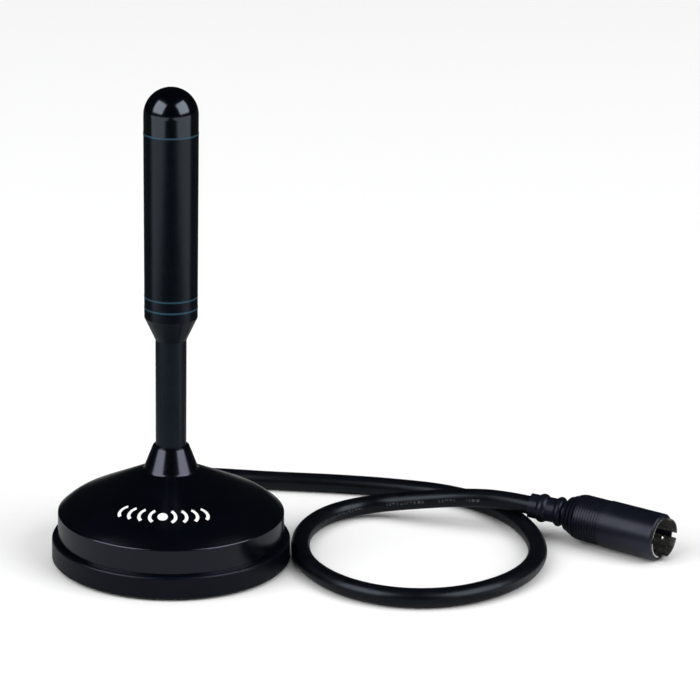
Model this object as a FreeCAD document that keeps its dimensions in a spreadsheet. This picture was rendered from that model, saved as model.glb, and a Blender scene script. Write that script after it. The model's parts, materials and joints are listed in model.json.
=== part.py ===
"""Passive whip antenna on a round magnetic base, with a captive coaxial lead and a push-on plug.

Millimetres. The origin is the middle of the base's underside and +Z is up along the mast.
The lead leaves the base at the back, lies on the table in one loop and ends in the plug.
"""
import FreeCAD
import Part
import math
import os
import Sketcher
from FreeCAD import Placement, Rotation, Vector

# Driving dimensions: alias, value, what it is. "level" is a height above the table.
DIMENSIONS = [
    ("overshoot", 1.0, "cutting tools run this far past the faces that they cut"),
    ("lap", 0.5, "fused pieces run this far into each other"),
    ("pad_radius", 32.0, "rubber pad under the base"),
    ("pad_top", 1.2, "top level of the pad"),
    ("pad_chamfer", 0.3, "bottom edge of the pad"),
    ("tray_radius", 35.0, "lower ring of the base"),
    ("tray_inner", 31.0, "inside of the tray wall"),
    ("tray_recess", 32.2, "recess that holds the pad"),
    ("tray_bottom", 0.4, "lowest level of the tray rim"),
    ("tray_floor", 3.0, "top level of the tray floor"),
    ("tray_top", 7.2, "level of the ledge"),
    ("tray_round", 0.8, "outer edge of the ledge"),
    ("tray_chamfer", 0.5, "bottom outer edge of the tray"),
    ("magnet_rib_inner", 17.2, "locating rib round the magnet"),
    ("magnet_rib_outer", 18.4, "locating rib round the magnet"),
    ("magnet_rib_top", 5.5, "top level of the locating rib"),
    ("cap_radius", 33.2, "upright wall of the cap"),
    ("cap_inner", 31.0, "inside of the cap wall"),
    ("cap_shoulder", 14.7, "top of the cap's wall"),
    ("cap_round", 0.4, "rounding between wall and brow"),
    ("brow_radius", 30.0, "steeper brow between wall and cone, its upper edge"),
    ("brow_level", 17.5, "level where the cone starts"),
    ("brow_round", 20.0, "rounding between brow and cone"),
    ("cap_inner_shoulder", 13.4, "level of the same corner inside"),
    ("web_radius", 14.6, "solid middle of the cone, from below"),
    ("web_bottom", 21.9, "underside of the solid middle"),
    ("cone_top", 27.8, "level where the collar starts"),
    ("collar_foot_radius", 8.1, "collar at its foot"),
    ("collar_foot_round", 1.4, "fillet between cone and collar"),
    ("collar_radius", 5.34, "collar at its top"),
    ("collar_chamfer", 0.4, "top edge of the collar, across"),
    ("collar_edge", 34.9, "level where the collar's top chamfer starts"),
    ("collar_top", 35.3, "top level of the collar"),
    ("socket_radius", 4.54, "socket for the mast foot, 0.08 clear of it"),
    ("socket_floor", 24.9, "bottom level of the socket"),
    ("bush_radius", 3.9, "insulating bush in the cap"),
    ("bush_flange_radius", 6.5, "flange of the bush"),
    ("bush_bottom", 20.4, "lower face of the bush's flange"),
    ("boss_circle", 26.5, "screw bosses, distance from the middle"),
    ("boss_radius", 3.5, "screw boss"),
    ("boss_skin", 0.4, "boss top stays this far inside the cone"),
    ("pilot_radius", 1.2, "pilot hole in a boss"),
    ("pilot_top", 11.5, "top level of a pilot hole"),
    ("screw_hole_radius", 1.6, "clearance hole in the tray"),
    ("screw_sink_radius", 3.1, "countersink in the tray"),
    ("screw_sink_top", 2.7, "top level of the countersink"),
    ("screw_head_radius", 3.0, "countersunk head"),
    ("screw_head_bottom", 1.3, "outer face of the head"),
    ("screw_shank_radius", 1.15, "self-tapping shank"),
    ("screw_top", 11.0, "tip of the screw"),
    ("magnet_radius", 17.0, "ring magnet"),
    ("magnet_bore", 7.0, "hole of the magnet and of the plate"),
    ("magnet_top", 9.0, "top level of the magnet"),
    ("plate_radius", 17.5, "steel plate on the magnet"),
    ("plate_top", 10.2, "top level of the plate"),
    ("rivet_place_out", 11.0, "ground rivet, outwards along the lead"),
    ("rivet_place_side", 7.0, "ground rivet, beside the lead"),
    ("rivet_radius", 1.25, "shank of the rivet"),
    ("rivet_hole_radius", 1.3, "its hole"),
    ("rivet_head_radius", 1.9, "head of the rivet"),
    ("rivet_top", 12.0, "top level of the rivet"),
    ("tag_radius", 3.4, "ground tag"),
    ("tag_top", 10.8, "top level of the ground tag"),
    ("stud_radius", 2.95, "feed stud, plain cylinder for its M6 thread"),
    ("stud_bottom", 13.0, "lower end of the stud"),
    ("stud_top", 33.0, "upper end of the stud"),
    ("stud_chamfer", 0.5, "lead-in at both ends of the stud"),
    ("nut_flats", 10.0, "both nuts, across flats"),
    ("washer_bottom", 19.9, "washer under the bush's flange"),
    ("washer_radius", 6.2, "washer"),
    ("nut_bottom", 16.9, "nut under the washer"),
    ("solder_tag_bottom", 16.4, "solder tag between the two nuts"),
    ("solder_tag_radius", 5.4, "ring of the solder tag"),
    ("solder_tag_reach", 9.2, "end of its tab"),
    ("solder_tag_width", 3.0, "width of its tab"),
    ("lock_nut_bottom", 13.5, "nut under the solder tag"),
    ("seal_inner", 3.3, "sealing washer in the socket"),
    ("seal_outer", 4.4, "sealing washer in the socket"),
    ("seal_bottom", 24.95, "its lower face"),
    ("seal_top", 25.45, "its upper face"),
    ("mast_foot", 25.5, "lower end of the mast"),
    ("mast_foot_radius", 4.46, "mast tube at its foot"),
    ("mast_head_radius", 4.5, "mast tube under the barrel"),
    ("mast_bore", 3.8, "inside of the mast tube"),
    ("mast_head", 67.2, "level where the taper starts"),
    ("ferrule_bore", 3.0, "bore of the foot ferrule, 0.05 clear of the stud"),
    ("ferrule_bore_top", 34.0, "end of that bore"),
    ("ferrule_top", 36.5, "top level of the foot ferrule"),
    ("rod_radius", 1.0, "feed rod inside the mast"),
    ("rod_top", 90.0, "upper end of the feed rod"),
    ("rod_hole", 1.05, "holes that the rod passes"),
    ("spacer_radius", 3.75, "rod spacers"),
    ("spacer_thick", 2.0, "rod spacers"),
    ("spacer_low", 44.0, "lower spacer"),
    ("spacer_high", 54.0, "upper spacer"),
    ("spigot_bottom", 60.2, "adapter's spigot in the mast"),
    ("taper_top", 74.0, "level where the taper ends"),
    ("barrel_low_radius", 7.7, "barrel at its lower end"),
    ("barrel_high_radius", 7.87, "barrel at its upper end"),
    ("ring_width", 0.5, "accent rings, along the barrel"),
    ("ring_proud", 0.05, "accent rings stand out this much"),
    ("ring_bed", 7.1, "bottom of the lower ring's groove"),
    ("ring_low", 76.75, "lower face of the lowest ring"),
    ("ring_mid", 80.05, "lower face of the middle ring"),
    ("ring_high", 128.0, "lower face of the top ring"),
    ("sleeve_bore", 6.35, "inside of the barrel sleeve"),
    ("adapter_spigot", 6.3, "adapter's and cap's spigots in the sleeve"),
    ("adapter_top", 86.0, "top level of the adapter"),
    ("dome_radius", 7.85, "dome"),
    ("dome_centre", 133.55, "centre level of the dome"),
    ("dome_spigot_bottom", 121.5, "dome cap's spigot"),
    ("dome_bore", 5.7, "inside of the dome cap"),
    ("dome_cavity_radius", 5.7, "hollow under the dome"),
    ("former_radius", 3.6, "coil former"),
    ("former_flange", 6.2, "flange of the former"),
    ("former_bottom", 86.5, "lower end of the former"),
    ("former_flange_top", 88.0, "top level of that flange"),
    ("former_bore_top", 90.5, "end of the rod's hole in the former"),
    ("former_top", 121.8, "upper end of the former"),
    ("coil_low", 93.0, "centre level of the first turn"),
    ("coil_pitch", 1.3, "turns of the loading coil"),
    ("coil_wire", 0.7, "radius of the wound wire"),
    ("coil_radius", 4.35, "centre of the wire from the axis"),
    ("load_radius", 5.4, "top load plate"),
    ("load_top", 123.4, "top level of the load plate"),
    ("load_stem_radius", 1.6, "its stem"),
    ("load_stem_top", 130.0, "top level of the stem"),
    ("exit_angle", 106.0, "direction in which the lead leaves, from +X"),
    ("exit_level", 6.0, "level of the lead's axis at the exit"),
    ("exit_reach", 35.57, "outer end of the grommet, from the middle"),
    ("lead_radius", 2.8, "coaxial lead"),
    ("grommet_bore", 2.82, "hole of the grommet"),
    ("grommet_radius", 3.8, "grommet in the wall"),
    ("grommet_hole", 3.85, "hole in the wall"),
    ("grommet_flange", 4.8, "flange of the grommet, inside"),
    ("grommet_flange_inner", 29.6, "inner end of the flange"),
    ("grommet_flange_outer", 30.5, "outer end of the flange"),
    ("jacket_end", 23.4, "stripped end of the lead, from the middle"),
    ("dielectric_radius", 1.8, "foam core of the lead"),
    ("wire_radius", 0.4, "centre conductor"),
    ("core_level", 12.4, "level of the core over the magnet"),
    ("core_bend", 4.0, "bend radius of the core"),
    ("core_low", 22.6, "core starts to rise"),
    ("core_high", 19.0, "core has risen"),
    ("core_end", 11.0, "end of the foam core"),
    ("wire_turn", 8.0, "conductor turns up to the solder tag"),
    ("wire_bend", 1.5, "bend radius of the conductor"),
    ("braid_radius", 0.45, "twisted braid"),
    ("clamp_inner", 2.85, "inside of the cable clamp"),
    ("clamp_outer", 3.85, "outside of the cable clamp"),
    ("clamp_foot_bottom", 4.6, "underside of the clamp's feet"),
    ("clamp_foot_top", 5.6, "top of the clamp's feet"),
    ("clamp_half_width", 8.6, "end of the clamp's feet"),
    ("clamp_near", 24.0, "clamp, end towards the middle"),
    ("clamp_length", 4.5, "clamp, along the lead"),
    ("clamp_screw_side", 6.4, "clamp screws, beside the lead"),
    ("clamp_screw_radius", 0.9, "shank of a clamp screw"),
    ("clamp_head_radius", 1.8, "head of a clamp screw"),
    ("clamp_head_top", 6.7, "top of the head"),
    ("clamp_screw_tip", 2.1, "tip of a clamp screw"),
    ("clamp_post_radius", 2.1, "post under a clamp foot"),
    ("rim_along", 143.8, "middle of the plug's rim, X"),
    ("rim_across", -2.6, "middle of the plug's rim, Y"),
    ("rim_level", 7.08, "middle of the plug's rim, Z"),
    ("plug_heading", -37.0, "direction of the plug, from +X"),
    ("plug_tilt", 1.0, "plug points down this much"),
    ("boot_heading", -24.0, "direction of the flexible boot"),
    ("boot_tilt", 4.0, "boot points down this much"),
    ("plug_radius", 7.05, "smooth sleeve of the plug"),
    ("plug_lip", 0.4, "chamfer at the rim"),
    ("plug_bore", 6.02, "hole that holds the shell"),
    ("sleeve_length", 17.8, "smooth sleeve, from the rim"),
    ("grip_radius", 6.87, "ribbed grip"),
    ("groove_radius", 6.68, "bottom of a grip groove"),
    ("groove_pitch", 0.9, "fine grip grooves"),
    ("groove_width", 0.4, "fine grip grooves"),
    ("grip_end", 26.4, "end of the ribbed grip, from the rim"),
    ("neck_place", 31.0, "neck between shoulder and boot, from the rim"),
    ("neck_radius", 3.8, "neck"),
    ("step_width", 1.15, "each broad ring of the shoulder"),
    ("step_gap", 0.35, "groove between two broad rings"),
    ("step_first", 5.2, "radius of the ring next to the neck"),
    ("step_growth", 0.66, "each ring is this much larger than the one behind it"),
    ("step_flare", 0.25, "a ring widens this much towards the grip"),
    ("step_depth", 0.55, "groove behind a ring"),
    ("step_edge", 0.1, "front edge of a ring"),
    ("grip_edge", 0.35, "rear edge of the grip, across"),
    ("grip_edge_length", 0.2, "rear edges of the grip and of the sleeve, along the plug"),
    ("grip_first_groove", 0.54, "end of the grip to its first groove"),
    ("boot_length", 12.19, "boot, from the neck"),
    ("boot_radius", 3.7, "boot between its bulges"),
    ("bulge_place_near", 2.9, "bulge next to the neck"),
    ("bulge_place_far", 8.2, "bulge next to the lead"),
    ("bulge_half_near", 2.3, "half length of the near bulge's ellipsoid"),
    ("bulge_half_far", 2.8, "half length of the far bulge's ellipsoid"),
    ("bulge_radius_near", 4.5, "near bulge"),
    ("bulge_radius_far", 4.35, "far bulge"),
    ("shell_radius", 6.0, "outside of the spring shell, at its back and at its free end"),
    ("finger_radius", 5.8, "outside of its fingers within the moulding, so that they can bend"),
    ("finger_ramp", 0.2, "fingers widen over this length, and their tips are chamfered as much"),
    ("shell_bore", 5.55, "inside of the spring shell"),
    ("shell_reach", 2.0, "two long fingers of the shell stand out of the rim"),
    ("short_reach", 0.15, "the two short fingers end this far out of the rim"),
    ("shell_back", 16.0, "back of the shell, from the rim"),
    ("shell_back_thick", 1.2, "back wall of the shell"),
    ("shell_neck", 3.45, "hole in the back wall"),
    ("slot_width", 1.6, "slots between the spring fingers"),
    ("slot_end", 9.5, "closed end of a slot, from the rim"),
    ("slot_angle", 84.0, "first slot, round the axis"),
    ("insulator_face", 8.5, "front of the insulator, from the rim"),
    ("insulator_radius", 5.5, "insulator"),
    ("pin_radius", 0.5, "centre pin"),
    ("pin_seat_radius", 0.7, "thicker back of the pin, held in the insulator"),
    ("pin_point", 0.25, "chamfer at the pin's tip"),
    ("pin_reach", 0.6, "pin stands out of the rim"),
    ("pin_back", 17.0, "back of the pin"),
    ("crimp_radius", 3.4, "crimp ferrule"),
    ("crimp_bore", 2.9, "inside of the crimp ferrule"),
    ("crimp_lap", 0.6, "crimp ferrule reaches this far into the shell's back wall"),
    ("crimp_end", 27.0, "back of the crimp ferrule, from the rim"),
    ("crimp_core_radius", 2.85, "end of the lead inside the ferrule"),
    ("drawing_rim", 37.0, "level of the rim while the plug is drawn upright"),
]

# Centreline of the free lead, chosen by hand: exit, bend, loop on the table, crossing, plug boot.
ROUTE = [
    (-9.8, 34.2, 6.0),
    (-12.0, 41.9, 6.0),
    (-10.4, 51.0, 5.1),
    (-4.9, 58.3, 3.9),
    (3.8, 62.6, 3.0),
    (15.2, 61.9, 2.82),
    (31.4, 58.7, 2.82),
    (49.5, 56.5, 2.82),
    (68.4, 52.7, 2.82),
    (87.0, 46.6, 2.82),
    (100.6, 33.2, 2.82),
    (107.8, 13.6, 2.82),
    (108.1, -7.2, 2.82),
    (99.2, -26.0, 2.82),
    (82.6, -38.2, 2.82),
    (64.4, -39.9, 2.82),
    (48.2, -30.6, 2.82),
    (38.8, -13.4, 2.82),
    (37.7, 5.8, 2.82),
    (42.0, 20.8, 2.82),
    (50.4, 31.6, 2.84),
    (62.4, 35.7, 3.7),
    (75.0, 30.9, 6.6),
    (88.4, 26.8, 8.9),
    (99.6, 24.7, 9.11),
    (107.93, 21.0, 8.47),
]
ARC_SHARE = 0.45  # part of the shorter run that an arc's tangent takes

# Corners of the braid pigtail after its first: along the lead's direction, beside it, level.
BRAID_ROUTE = [(20.6, 3.6, 7.6), (18.6, 5.6, 11.25), (13.6, 6.9, 11.25)]
BRAID_BENDS = [1.5, 1.2]
BRAID_START = 0.3  # the braid starts this far behind the jacket's end
BRAID_GAP = 0.05  # and this far beside the foam core

GRIP_GROOVES = 9
SHOULDER_RINGS = 3
COIL_TURNS = 20
BASE_SCREWS = 4
FIRST_SCREW_ANGLE = 45.0

doc = FreeCAD.newDocument("whip_antenna")
sheet = doc.addObject("Spreadsheet::Sheet", "sizes")
sizes = {}
subparts = []


def fill_sheet():
    """Write every driving dimension into the sheet, one row each."""
    for row, (alias, value, meaning) in enumerate(DIMENSIONS, start=1):
        sheet.set(f"A{row}", str(value))
        sheet.setAlias(f"A{row}", alias)
        sheet.set(f"B{row}", meaning)
        sizes[alias] = value
    doc.recompute()


def formula(text):
    """Put the sheet's name before each alias in an expression."""
    words = [f"sizes.{word}" if word in sizes else word for word in text.split()]
    return " ".join(words)


def bind(target, **expressions):
    """Bind properties of an object to expressions of the sheet; Place_x stands for Placement.Base.x."""
    for name, text in expressions.items():
        target.setExpression(name.replace("Place_", "Placement.Base."), formula(text))
    return target


def subpart(item, label):
    """Name a finished sub-part and put it on the list of files."""
    item.Label = label
    subparts.append(item)
    return item


def origin_plane(body, role):
    """One of the body's own origin planes."""
    return next(plane for plane in body.Origin.OriginFeatures if plane.Role == role)


def corner_constraints(sketch, corners):
    """Fix each corner of a closed outline at its radius and level."""
    count = len(corners)
    for index in range(count):
        following = (index + 1) % count
        sketch.addConstraint(Sketcher.Constraint("Coincident", index, 2, following, 1))
    for index, (across, level) in enumerate(corners):
        for kind, text, axis in (("DistanceX", across, -2), ("DistanceY", level, -1)):
            if text == "0":
                sketch.addConstraint(Sketcher.Constraint("PointOnObject", index, 1, axis))
                continue
            start = sketch.Geometry[index].StartPoint
            value = start.x if kind == "DistanceX" else start.y
            fixed = sketch.addConstraint(Sketcher.Constraint(kind, -1, 1, index, 1, value))
            sketch.setExpression(f"Constraints[{fixed}]", formula(text))


def outline_sketch(body, name, corners, plane="XZ_Plane"):
    """A closed outline of straight edges; each corner is a pair of sheet expressions."""
    sketch = body.newObject("Sketcher::SketchObject", name)
    sketch.AttachmentSupport = [(origin_plane(body, plane), "")]
    sketch.MapMode = "FlatFace"
    points = [Vector(number(across), number(level), 0) for across, level in corners]
    for index, point in enumerate(points):
        following = points[(index + 1) % len(points)]
        sketch.addGeometry(Part.LineSegment(point, following), False)
    corner_constraints(sketch, corners)
    return sketch


def number(text):
    """The value of a sheet expression, for a sketch's first shape."""
    reader = doc.getObject("reader") or doc.addObject("App::FeaturePython", "reader")
    if "Value" not in reader.PropertiesList:
        reader.addProperty("App::PropertyFloat", "Value")
    reader.setExpression("Value", formula(text))
    reader.recompute()
    return reader.Value


def turned(name, corners):
    """A body of revolution about its own Z, from an outline in radius and level."""
    body = doc.addObject("PartDesign::Body", name)
    sketch = outline_sketch(body, f"{name}_outline", corners)
    turn = body.newObject("PartDesign::Revolution", f"{name}_turn")
    turn.Profile = sketch
    turn.ReferenceAxis = (sketch, ["V_Axis"])
    turn.Angle = 360.0
    doc.recompute()
    return body


def round_edge(body, radius, level, size):
    """Fillet the round edge of a turned body that lies at this radius and level."""
    base = body.Tip
    names = []
    for index, edge in enumerate(base.Shape.Edges, start=1):
        curve = edge.Curve
        if not isinstance(curve, Part.Circle):
            continue
        if abs(curve.Radius - number(radius)) < 1e-4 and abs(curve.Center.z - number(level)) < 1e-4:
            names.append(f"Edge{index}")
    fillet = body.newObject("PartDesign::Fillet", f"{base.Name}_round")
    fillet.Base = (base, names)
    bind(fillet, Radius=size)
    doc.recompute()
    return body


def ring(name, inner, outer, bottom, top):
    """A plain ring or sleeve; an inner radius of "0" makes a disc."""
    return turned(name, [(inner, bottom), (outer, bottom), (outer, top), (inner, top)])


def cylinder(name, radius, bottom, top, across="0", side="0"):
    """An upright cylinder between two levels."""
    item = doc.addObject("Part::Cylinder", name)
    return bind(
        item, Radius=radius, Height=f"{top} - ( {bottom} )", Place_x=across, Place_y=side, Place_z=bottom
    )


def lying_cylinder(name, radius, near, far, level):
    """A cylinder along +X between two distances from the middle."""
    item = doc.addObject("Part::Cylinder", name)
    item.Placement = Placement(Vector(), Rotation(Vector(0, 1, 0), 90))
    return bind(item, Radius=radius, Height=f"{far} - ( {near} )", Place_x=near, Place_z=level)


def fuse(name, items):
    """One solid of several."""
    item = doc.addObject("Part::MultiFuse", name)
    item.Shapes = items
    return item


def cut(name, base, tool):
    """The base without the tool."""
    item = doc.addObject("Part::Cut", name)
    item.Base = base
    item.Tool = tool
    return item


def group(name, items):
    """Separate solids under one name."""
    item = doc.addObject("Part::Compound", name)
    item.Links = items
    return item


def exit_turn():
    """Turns +X to the direction in which the lead leaves."""
    return Rotation(Vector(0, 0, 1), sizes["exit_angle"])


def aimed_at_exit(item):
    """Turn a piece that was drawn along +X to the lead's direction."""
    item.Placement = Placement(Vector(), exit_turn())
    return item


def screw_angles():
    """Angles of the base screws."""
    return [FIRST_SCREW_ANGLE + 360.0 / BASE_SCREWS * index for index in range(BASE_SCREWS)]


def on_screw_circle(item, angle):
    """Bind an upright piece to one place on the screw circle."""
    return bind(
        item,
        Place_x=f"boss_circle * cos( {angle} deg )",
        Place_y=f"boss_circle * sin( {angle} deg )",
    )


def base_pad():
    """Rubber disc that the antenna stands on."""
    edge = [
        ("0", "0"),
        ("pad_radius - pad_chamfer", "0"),
        ("pad_radius", "pad_chamfer"),
        ("pad_radius", "pad_top"),
        ("0", "pad_top"),
    ]
    subpart(turned("pad", edge), "base_pad")


def base_tray():
    """Lower ring and floor, with countersunk holes, magnet rib, clamp posts and the lead's notch."""
    body = turned("tray", [
        ("0", "pad_top"),
        ("tray_recess", "pad_top"),
        ("tray_recess", "tray_bottom"),
        ("tray_radius - tray_chamfer", "tray_bottom"),
        ("tray_radius", "tray_bottom + tray_chamfer"),
        ("tray_radius", "tray_top"),
        ("tray_inner", "tray_top"),
        ("tray_inner", "tray_floor"),
        ("magnet_rib_outer", "tray_floor"),
        ("magnet_rib_outer", "magnet_rib_top"),
        ("magnet_rib_inner", "magnet_rib_top"),
        ("magnet_rib_inner", "tray_floor"),
        ("0", "tray_floor"),
    ])
    round_edge(body, "tray_radius", "tray_top", "tray_round")
    posts = [clamp_post(side) for side in (-1, 1)]
    solid = fuse("tray_with_posts", [body] + posts)
    tools = [clamp_screw_hole(side) for side in (-1, 1)]
    tools.append(wall_hole("tray_notch"))
    for index, angle in enumerate(screw_angles()):
        hole = cylinder(f"tray_hole_{index}", "screw_hole_radius", "0", "tray_floor + overshoot")
        sink = doc.addObject("Part::Cone", f"tray_sink_{index}")
        bind(
            sink,
            Radius1="screw_sink_radius",
            Radius2="screw_hole_radius",
            Height="screw_sink_top - pad_top",
            Place_z="pad_top",
        )
        tools += [on_screw_circle(hole, angle), on_screw_circle(sink, angle)]
    subpart(cut("tray_done", solid, fuse("tray_tools", tools)), "base_tray")


def beside_lead(item, out, side):
    """Bind an upright piece to a place given along and beside the lead's direction."""
    return bind(
        item,
        Place_x=f"( {out} ) * cos( exit_angle * 1 deg ) - ( {side} ) * sin( exit_angle * 1 deg )",
        Place_y=f"( {out} ) * sin( exit_angle * 1 deg ) + ( {side} ) * cos( exit_angle * 1 deg )",
    )


def clamp_place(item, side):
    """Bind an upright piece to one of the two clamp screws."""
    return beside_lead(item, "clamp_near + clamp_length / 2", f"{side} * clamp_screw_side")


def clamp_post(side):
    """Post of the tray under one foot of the cable clamp."""
    post = cylinder(f"clamp_post_{side + 1}", "clamp_post_radius", "tray_floor - lap", "clamp_foot_bottom")
    return clamp_place(post, side)


def clamp_screw_hole(side):
    """Hole in a post for a clamp screw."""
    hole = cylinder(
        f"clamp_hole_{side + 1}", "clamp_screw_radius", "clamp_screw_tip", "clamp_foot_top + overshoot"
    )
    return clamp_place(hole, side)


def wall_hole(name):
    """Round hole through the base wall for the grommet."""
    near = "grommet_flange_outer - lap"
    hole = lying_cylinder(name, "grommet_hole", near, "exit_reach + overshoot", "exit_level")
    hole.Placement = Placement(Vector(), exit_turn().multiply(hole.Placement.Rotation))
    return beside_lead(hole, near, "0")


def base_cap():
    """Cone shell with its collar, mast socket, screw bosses and half of the lead's hole."""
    body = turned("cap", [
        ("cap_inner", "tray_top"),
        ("cap_radius", "tray_top"),
        ("cap_radius", "cap_shoulder"),
        ("brow_radius", "brow_level"),
        ("collar_foot_radius", "cone_top"),
        ("collar_radius", "collar_edge"),
        ("collar_radius - collar_chamfer", "collar_top"),
        ("socket_radius", "collar_top"),
        ("socket_radius", "socket_floor"),
        ("bush_radius", "socket_floor"),
        ("bush_radius", "web_bottom"),
        ("web_radius", "web_bottom"),
        ("cap_inner", "cap_inner_shoulder"),
    ])
    round_edge(body, "cap_radius", "cap_shoulder", "cap_round")
    round_edge(body, "brow_radius", "brow_level", "brow_round")
    round_edge(body, "collar_foot_radius", "cone_top", "collar_foot_round")
    slope = "( cap_radius - collar_foot_radius ) / ( cone_top - cap_shoulder )"
    limit = doc.addObject("Part::Cone", "boss_limit")
    bind(
        limit,
        Radius1=f"cap_radius - boss_skin + ( cap_shoulder - tray_floor ) * {slope}",
        Radius2="collar_foot_radius - boss_skin",
        Height="cone_top - tray_floor",
        Place_z="tray_floor",
    )
    bosses = []
    pilots = []
    for index, angle in enumerate(screw_angles()):
        boss = cylinder(f"boss_{index}", "boss_radius", "tray_floor", "cone_top")
        pilot = cylinder(f"pilot_{index}", "pilot_radius", "tray_floor - overshoot", "pilot_top")
        bosses.append(on_screw_circle(boss, angle))
        pilots.append(on_screw_circle(pilot, angle))
    trimmed = doc.addObject("Part::Common", "bosses_trimmed")
    trimmed.Base = fuse("bosses", bosses)
    trimmed.Tool = limit
    tools = fuse("cap_tools", pilots + [wall_hole("cap_notch")])
    subpart(cut("cap_done", fuse("cap_with_bosses", [body, trimmed]), tools), "base_cap")


def base_screws():
    """Self-tapping countersunk screws that hold the tray to the cap, under the pad."""
    screws = []
    for index, angle in enumerate(screw_angles()):
        head = doc.addObject("Part::Cone", f"screw_head_{index}")
        bind(
            head,
            Radius1="screw_head_radius",
            Radius2="screw_shank_radius",
            Height="screw_sink_top - screw_head_bottom",
            Place_z="screw_head_bottom",
        )
        shank = cylinder(
            f"screw_shank_{index}", "screw_shank_radius", "screw_head_bottom + lap", "screw_top"
        )
        pair = [on_screw_circle(head, angle), on_screw_circle(shank, angle)]
        screws.append(fuse(f"screw_{index}", pair))
    subpart(group("screws", screws), "base_screws")


def magnet_and_plate():
    """Ring magnet in the tray and the steel ground plate on top of it."""
    subpart(ring("magnet", "magnet_bore", "magnet_radius", "tray_floor", "magnet_top"), "ring_magnet")
    plate = ring("plate", "magnet_bore", "plate_radius", "magnet_top", "plate_top")
    hole = cylinder(
        "rivet_hole", "rivet_hole_radius", "magnet_top - overshoot", "plate_top + overshoot"
    )
    beside_lead(hole, "rivet_place_out", "rivet_place_side")
    subpart(cut("plate_done", plate, hole), "steel_plate")


def ground_fixing():
    """Ground tag on the plate and the rivet that holds it."""
    place = ("rivet_place_out", "rivet_place_side")
    disc = cylinder("ground_disc", "tag_radius", "plate_top", "tag_top", *place)
    eye = cylinder(
        "ground_eye", "rivet_hole_radius", "plate_top - overshoot", "tag_top + overshoot", *place
    )
    subpart(aimed_at_exit(cut("ground_tag_done", disc, eye)), "ground_tag")
    shank = cylinder("rivet_shank", "rivet_radius", "magnet_top", "tag_top", *place)
    head = cylinder("rivet_head", "rivet_head_radius", "tag_top", "rivet_top", *place)
    subpart(aimed_at_exit(fuse("rivet", [shank, head])), "ground_rivet")


def feed_stud():
    """Brass stud that carries the mast and the signal."""
    subpart(turned("stud", [
        ("0", "stud_bottom"),
        ("stud_radius - stud_chamfer", "stud_bottom"),
        ("stud_radius", "stud_bottom + stud_chamfer"),
        ("stud_radius", "stud_top - stud_chamfer"),
        ("stud_radius - stud_chamfer", "stud_top"),
        ("0", "stud_top"),
    ]), "feed_stud")


def stud_bush():
    """Insulating flanged bush between the stud and the cap."""
    subpart(turned("bush", [
        ("stud_radius", "bush_bottom"),
        ("bush_flange_radius", "bush_bottom"),
        ("bush_flange_radius", "web_bottom"),
        ("bush_radius", "web_bottom"),
        ("bush_radius", "socket_floor"),
        ("stud_radius", "socket_floor"),
    ]), "stud_bush")


def hex_nut(name, bottom, top):
    """Hexagon nut on the stud."""
    hexagon = doc.addObject("Part::Prism", f"{name}_hexagon")
    hexagon.Polygon = 6
    bind(
        hexagon,
        Circumradius="nut_flats / 2 / cos( 30 deg )",
        Height=f"{top} - {bottom}",
        Place_z=bottom,
    )
    hole = cylinder(f"{name}_hole", "stud_radius", f"{bottom} - overshoot", f"{top} + overshoot")
    subpart(cut(f"{name}_done", hexagon, hole), name)


def stud_hardware():
    """Washer, two nuts and the solder tag between them."""
    subpart(ring("washer", "stud_radius", "washer_radius", "washer_bottom", "bush_bottom"), "stud_washer")
    hex_nut("stud_nut", "nut_bottom", "washer_bottom")
    hex_nut("lock_nut", "lock_nut_bottom", "solder_tag_bottom")
    disc = cylinder("solder_disc", "solder_tag_radius", "solder_tag_bottom", "nut_bottom")
    tab = doc.addObject("Part::Box", "solder_tab")
    bind(
        tab,
        Length="solder_tag_reach",
        Width="solder_tag_width",
        Height="nut_bottom - solder_tag_bottom",
        Place_y="- solder_tag_width / 2",
        Place_z="solder_tag_bottom",
    )
    eye = cylinder(
        "solder_eye", "stud_radius", "solder_tag_bottom - overshoot", "nut_bottom + overshoot"
    )
    tag = cut("solder_tag_done", fuse("solder_plate", [disc, tab]), eye)
    subpart(aimed_at_exit(tag), "solder_tag")


def foot_seal():
    """Sealing washer that the mast foot carries."""
    subpart(ring("seal", "seal_inner", "seal_outer", "seal_bottom", "seal_top"), "foot_seal")


def mast():
    """Tube, threaded foot ferrule, feed rod and the spacers that centre it."""
    subpart(turned("tube", [
        ("mast_bore", "mast_foot"),
        ("mast_foot_radius", "mast_foot"),
        ("mast_head_radius", "mast_head"),
        ("mast_bore", "mast_head"),
    ]), "mast_tube")
    subpart(turned("ferrule", [
        ("ferrule_bore", "mast_foot"),
        ("mast_bore", "mast_foot"),
        ("mast_bore", "ferrule_top"),
        ("rod_radius", "ferrule_top"),
        ("rod_radius", "ferrule_bore_top"),
        ("ferrule_bore", "ferrule_bore_top"),
    ]), "foot_ferrule")
    subpart(ring("rod", "0", "rod_radius", "ferrule_bore_top", "rod_top"), "feed_rod")
    spacers = [
        ring(name, "rod_hole", "spacer_radius", level, f"{level} + spacer_thick")
        for name, level in (("spacer_one", "spacer_low"), ("spacer_two", "spacer_high"))
    ]
    subpart(group("spacers", spacers), "rod_spacers")


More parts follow.
